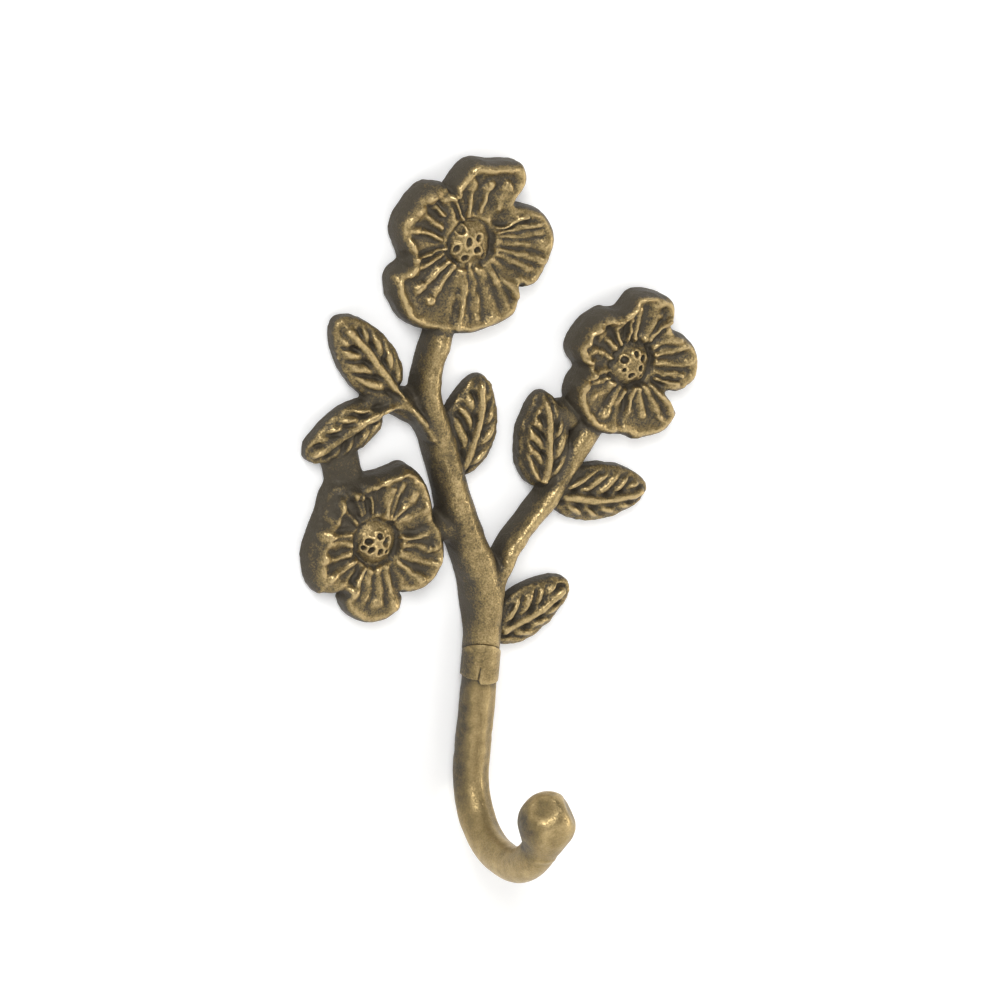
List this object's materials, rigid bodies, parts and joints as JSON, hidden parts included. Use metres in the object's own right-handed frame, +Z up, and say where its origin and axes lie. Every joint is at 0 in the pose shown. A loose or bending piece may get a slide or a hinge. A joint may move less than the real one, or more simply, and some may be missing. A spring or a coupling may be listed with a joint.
{
  "type": "decorative wall hook",
  "caption": "Cast brass wall hook shaped as a flowering branch, with a round rod hook ending in a bud; hangs on hidden keyholes.",
  "frame": {"origin": "on the flat back of the branch, in the plane of the hook, just above the foot of the stem", "axes": "+Z up the wall, +Y into the wall (the outward normal of the flat back), +X to the right as seen from the front"},
  "size_m": [0.0963, 0.047, 0.1609],
  "materials": {
    "cast_brass": "antique patina, brushed high spots",
    "hook_brass": "antique patina, hand rubbed"
  },
  "bodies": {
    "root": {"flower_branch": "cast_brass", "hook": "hook_brass", "joint_collar": "cast_brass"}
  },
  "joints": []
}
